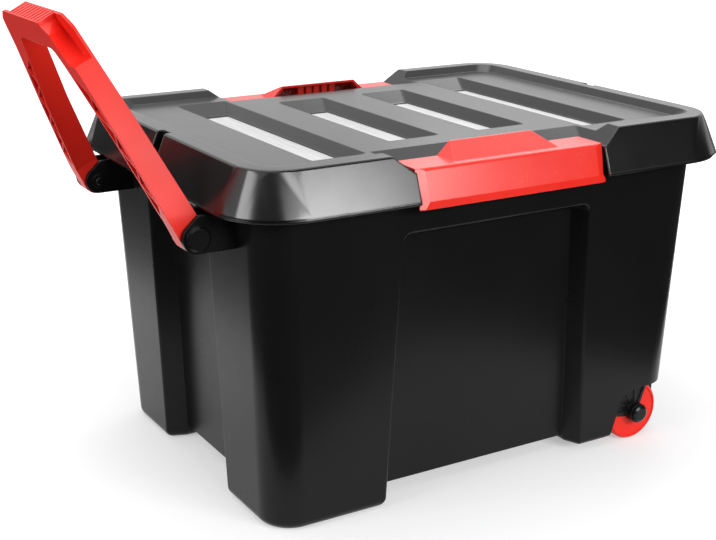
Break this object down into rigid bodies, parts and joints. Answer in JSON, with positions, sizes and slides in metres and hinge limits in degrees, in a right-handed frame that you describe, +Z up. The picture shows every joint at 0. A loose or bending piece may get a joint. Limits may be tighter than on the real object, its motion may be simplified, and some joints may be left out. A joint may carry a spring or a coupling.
{
  "type": "wheeled storage box",
  "caption": "Rectangular plastic storage tub with a flared clip-on lid, windowed lid grooves, rim latches, a folding tow handle at one end and wheels at the other.",
  "frame": {"origin": "on the floor under the plan centre of the tub and lid", "axes": "+X along the box from the handle end to the wheel end, +Y across it to the back latch, +Z up"},
  "size_m": [0.8272, 0.5336, 0.5907],
  "materials": {
    "black_moulding": "satin",
    "black_trim": "satin",
    "red_plastic": "semi-gloss",
    "milky_window": "translucent white",
    "steel_rod": "plain"
  },
  "bodies": {
    "tub": {"tub": "black_moulding", "front_latch_rod": "steel_rod", "back_latch_rod": "steel_rod", "handle_pin_front": "black_trim", "handle_pin_back": "black_trim", "handle_clip_front": "black_trim", "handle_clip_back": "black_trim", "wheel_axle_front": "steel_rod", "wheel_axle_back": "steel_rod", "wheel_cap_front": "black_trim", "wheel_cap_back": "black_trim"},
    "lid": {"lid": "black_moulding", "lid_window_1": "milky_window", "lid_window_2": "milky_window", "lid_window_3": "milky_window", "lid_window_4": "milky_window"},
    "front_latch": {"front_latch": "red_plastic"},
    "back_latch": {"back_latch": "red_plastic"},
    "tow_handle": {"tow_handle": "red_plastic"},
    "wheel_front": {"wheel_front": "red_plastic"},
    "wheel_back": {"wheel_back": "red_plastic"}
  },
  "joints": [
    {"name": "lid_lift", "type": "slide", "parent": "tub", "child": "lid", "axis": [0, 0, 1], "range_m": [0, 0.064]},
    {"name": "front_latch_hinge", "type": "hinge", "parent": "tub", "child": "front_latch", "pos_m": [0, -0.2525, 0.3805], "axis": [1, 0, 0], "range_deg": [0, 106]},
    {"name": "back_latch_hinge", "type": "hinge", "parent": "tub", "child": "back_latch", "pos_m": [0, 0.2525, 0.3805], "axis": [-1, 0, 0], "range_deg": [0, 106]},
    {"name": "handle_hinge", "type": "hinge", "parent": "tub", "child": "tow_handle", "pos_m": [-0.357, 0, 0.354], "axis": [0, -1, 0], "range_deg": [0, 152]},
    {"name": "wheel_front_spin", "type": "hinge", "parent": "tub", "child": "wheel_front", "pos_m": [0.2395, -0.205, 0.04], "axis": [0, 1, 0], "continuous": true},
    {"name": "wheel_back_spin", "type": "hinge", "parent": "tub", "child": "wheel_back", "pos_m": [0.2395, 0.205, 0.04], "axis": [0, 1, 0], "continuous": true}
  ],
  "couplings": [
    {"joint": "front_latch_hinge", "follows": "lid_lift", "rad_per_m": 28.8},
    {"joint": "back_latch_hinge", "follows": "lid_lift", "rad_per_m": 28.8}
  ]
}
